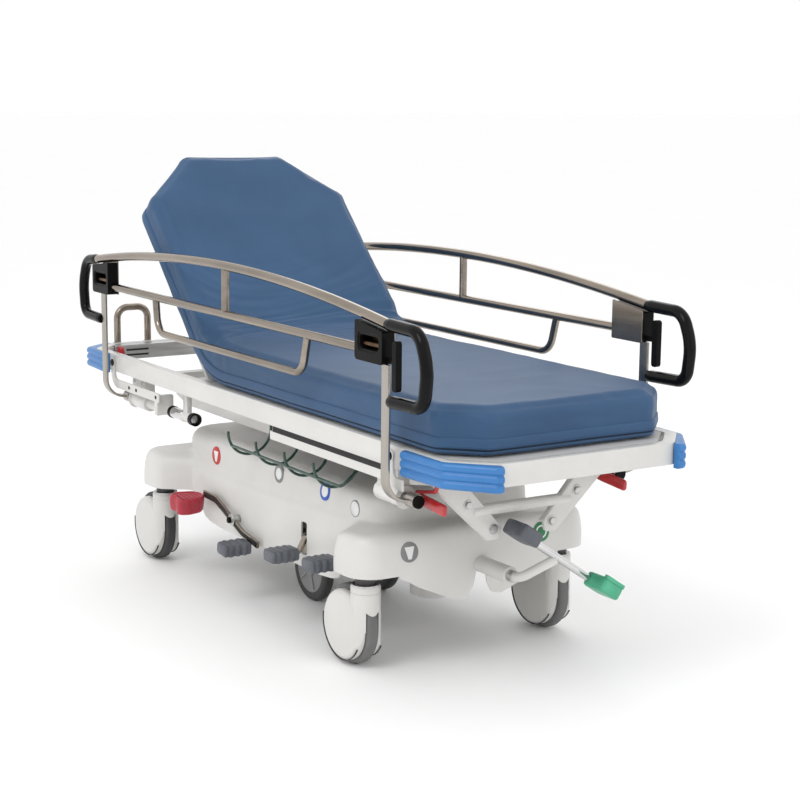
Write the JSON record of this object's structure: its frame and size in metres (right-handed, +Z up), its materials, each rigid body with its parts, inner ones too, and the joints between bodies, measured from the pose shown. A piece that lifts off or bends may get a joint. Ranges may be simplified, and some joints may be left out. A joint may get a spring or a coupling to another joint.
{
  "type": "stretcher trolley",
  "caption": "Hospital stretcher trolley on swivel casters with a height-adjustable litter, raising backrest, padded mattress, fold-down side rails and foot pedals.",
  "frame": {"origin": "on the floor under the middle of the trolley", "axes": "+X to the foot end, +Y to the far side rail, +Z up"},
  "size_m": [2.155, 0.786, 1.1923],
  "materials": {
    "white_paint": "satin powder coat",
    "white_plastic": "smooth moulded",
    "frame_steel": "dark satin",
    "stainless": "brushed",
    "chrome": "polished",
    "tyre": "matt grey",
    "black_grip": "fine texture",
    "grey_pad": "moulded rubber",
    "red_pad": "satin",
    "green_pad": "satin",
    "green_wire": "plastic dipped",
    "blue_bumper": "satin",
    "blue_fabric": "coated textile",
    "grey_panel": "satin"
  },
  "bodies": {
    "root": {"base_frame": "frame_steel", "base_shroud": "white_plastic", "head_cylinder": "frame_steel", "foot_cylinder": "frame_steel", "foot_pedal_sleeve": "white_paint"},
    "swivel_near_head": {"caster_fork_near_head": "white_plastic"},
    "wheel_near_head": {"caster_wheel_near_head": "tyre"},
    "swivel_far_head": {"caster_fork_far_head": "white_plastic"},
    "wheel_far_head": {"caster_wheel_far_head": "tyre"},
    "swivel_near_foot": {"caster_fork_near_foot": "white_plastic"},
    "wheel_near_foot": {"caster_wheel_near_foot": "tyre"},
    "swivel_far_foot": {"caster_fork_far_foot": "white_plastic"},
    "wheel_far_foot": {"caster_wheel_far_foot": "tyre"},
    "steering_arm": {"steering_arm": "frame_steel"},
    "foot_rocker": {"foot_rocker": "chrome", "foot_pad_brake": "grey_pad", "foot_pad_steer": "green_pad"},
    "steering_wheel_near": {"steering_wheel_near": "tyre"},
    "steering_wheel_far": {"steering_wheel_far": "tyre"},
    "brake_rocker": {"brake_bar": "stainless", "brake_pad": "red_pad", "neutral_pad": "grey_pad"},
    "pump_pedal": {"pump_arm": "stainless", "pump_pad": "grey_pad"},
    "release_pedal": {"release_arm": "stainless", "release_pad": "grey_pad"},
    "lift_stage": {"head_ram": "chrome", "foot_sleeve": "chrome"},
    "foot_ram": {"foot_ram": "chrome"},
    "litter": {"litter_frame": "white_paint", "seat_deck": "grey_panel", "bumper_near_head": "blue_bumper", "bumper_far_head": "blue_bumper", "bumper_near_foot": "blue_bumper", "bumper_far_foot": "blue_bumper", "foot_bracket": "white_paint", "bottle_cradle": "green_wire", "mattress_seat": "blue_fabric"},
    "push_handle_near": {"push_handle_near": "stainless"},
    "release_handle_near": {"release_handle_near": "red_pad"},
    "push_handle_far": {"push_handle_far": "stainless"},
    "release_handle_far": {"release_handle_far": "red_pad"},
    "backrest": {"backrest_panel": "grey_panel", "mattress_back": "blue_fabric"},
    "near_rail": {"near_rail_frame": "stainless", "near_head_post": "stainless", "near_foot_post": "stainless", "near_head_latch": "black_grip", "near_foot_latch": "black_grip", "near_head_grip": "black_grip", "near_foot_grip": "black_grip"},
    "near_rail_trigger": {"near_rail_trigger": "black_grip"},
    "far_rail": {"far_rail_frame": "stainless", "far_head_post": "stainless", "far_foot_post": "stainless", "far_head_latch": "black_grip", "far_foot_latch": "black_grip", "far_head_grip": "black_grip", "far_foot_grip": "black_grip"},
    "far_rail_trigger": {"far_rail_trigger": "black_grip"}
  },
  "joints": [
    {"name": "swivel_near_head", "type": "hinge", "parent": "root", "child": "swivel_near_head", "pos_m": [-0.57, -0.29, 0.1], "axis": [0, 0, 1], "continuous": true},
    {"name": "wheel_spin_near_head", "type": "hinge", "parent": "swivel_near_head", "child": "wheel_near_head", "pos_m": [-0.628, -0.29, 0.1], "axis": [0, 1, 0], "continuous": true},
    {"name": "swivel_far_head", "type": "hinge", "parent": "root", "child": "swivel_far_head", "pos_m": [-0.57, 0.29, 0.1], "axis": [0, 0, 1], "continuous": true},
    {"name": "wheel_spin_far_head", "type": "hinge", "parent": "swivel_far_head", "child": "wheel_far_head", "pos_m": [-0.628, 0.29, 0.1], "axis": [0, 1, 0], "continuous": true},
    {"name": "swivel_near_foot", "type": "hinge", "parent": "root", "child": "swivel_near_foot", "pos_m": [0.57, -0.29, 0.1], "axis": [0, 0, 1], "continuous": true},
    {"name": "wheel_spin_near_foot", "type": "hinge", "parent": "swivel_near_foot", "child": "wheel_near_foot", "pos_m": [0.512, -0.29, 0.1], "axis": [0, 1, 0], "continuous": true},
    {"name": "swivel_far_foot", "type": "hinge", "parent": "root", "child": "swivel_far_foot", "pos_m": [0.57, 0.29, 0.1], "axis": [0, 0, 1], "continuous": true},
    {"name": "wheel_spin_far_foot", "type": "hinge", "parent": "swivel_far_foot", "child": "wheel_far_foot", "pos_m": [0.512, 0.29, 0.1], "axis": [0, 1, 0], "continuous": true},
    {"name": "foot_rocker", "type": "hinge", "parent": "root", "child": "foot_rocker", "pos_m": [0.832, 0, 0.24], "axis": [1, 0, 0], "range_deg": [0, 68]},
    {"name": "steering_arm_lift", "type": "hinge", "parent": "root", "child": "steering_arm", "pos_m": [-0.14, 0, 0.185], "axis": [0, -1, 0], "range_deg": [0, 10]},
    {"name": "steering_spin_near", "type": "hinge", "parent": "steering_arm", "child": "steering_wheel_near", "pos_m": [0, -0.108, 0.09], "axis": [0, 1, 0], "continuous": true},
    {"name": "steering_spin_far", "type": "hinge", "parent": "steering_arm", "child": "steering_wheel_far", "pos_m": [0, 0.108, 0.09], "axis": [0, 1, 0], "continuous": true},
    {"name": "brake_rocker", "type": "hinge", "parent": "root", "child": "brake_rocker", "pos_m": [-0.165, -0.27, 0.212], "axis": [0, -1, 0], "range_deg": [0, 28]},
    {"name": "pump_pedal", "type": "hinge", "parent": "root", "child": "pump_pedal", "pos_m": [0.205, -0.205, 0.248], "axis": [1, 0, 0], "range_deg": [0, 12], "stiffness_Nm_per_rad": 20, "springref_deg": -4},
    {"name": "release_pedal", "type": "hinge", "parent": "root", "child": "release_pedal", "pos_m": [0.405, -0.205, 0.248], "axis": [1, 0, 0], "range_deg": [0, 12], "stiffness_Nm_per_rad": 20, "springref_deg": -4},
    {"name": "lift", "type": "slide", "parent": "root", "child": "lift_stage", "axis": [0, 0, 1], "range_m": [0, 0.27]},
    {"name": "foot_ram_slide", "type": "slide", "parent": "lift_stage", "child": "foot_ram", "axis": [0, 0, 1], "range_m": [0, 0.18]},
    {"name": "litter_tilt", "type": "hinge", "parent": "lift_stage", "child": "litter", "pos_m": [-0.42, 0, 0.475], "axis": [0, -1, 0], "range_deg": [0, 12]},
    {"name": "push_handle_near", "type": "hinge", "parent": "litter", "child": "push_handle_near", "pos_m": [-1.066, 0, 0.567], "axis": [0, -1, 0], "range_deg": [0, 170]},
    {"name": "release_handle_near", "type": "hinge", "parent": "litter", "child": "release_handle_near", "pos_m": [0.832, -0.2625, 0.527], "axis": [0, 1, 0], "range_deg": [0, 12], "stiffness_Nm_per_rad": 3, "springref_deg": -5},
    {"name": "push_handle_far", "type": "hinge", "parent": "litter", "child": "push_handle_far", "pos_m": [-1.066, 0, 0.567], "axis": [0, -1, 0], "range_deg": [0, 170]},
    {"name": "release_handle_far", "type": "hinge", "parent": "litter", "child": "release_handle_far", "pos_m": [0.832, 0.2625, 0.527], "axis": [0, 1, 0], "range_deg": [0, 12], "stiffness_Nm_per_rad": 3, "springref_deg": -5},
    {"name": "backrest", "type": "hinge", "parent": "litter", "child": "backrest", "pos_m": [-0.24, 0, 0.586], "axis": [0, 1, 0], "range_deg": [-45, 35]},
    {"name": "near_rail", "type": "hinge", "parent": "litter", "child": "near_rail", "pos_m": [0, -0.296, 0.465], "axis": [1, 0, 0], "range_deg": [0, 128]},
    {"name": "near_rail_trigger", "type": "slide", "parent": "near_rail", "child": "near_rail_trigger", "axis": [1, 0, 0], "range_m": [0, 0.01], "stiffness_N_per_m": 400, "springref_m": -0.004},
    {"name": "far_rail", "type": "hinge", "parent": "litter", "child": "far_rail", "pos_m": [0, 0.296, 0.465], "axis": [-1, 0, 0], "range_deg": [0, 128]},
    {"name": "far_rail_trigger", "type": "slide", "parent": "far_rail", "child": "far_rail_trigger", "axis": [1, 0, 0], "range_m": [0, 0.01], "stiffness_N_per_m": 400, "springref_m": -0.004}
  ],
  "couplings": [
    {"joint": "steering_arm_lift", "follows": "foot_rocker", "ratio": 0.1397},
    {"joint": "foot_ram_slide", "follows": "litter_tilt", "m_per_rad": 0.84}
  ]
}
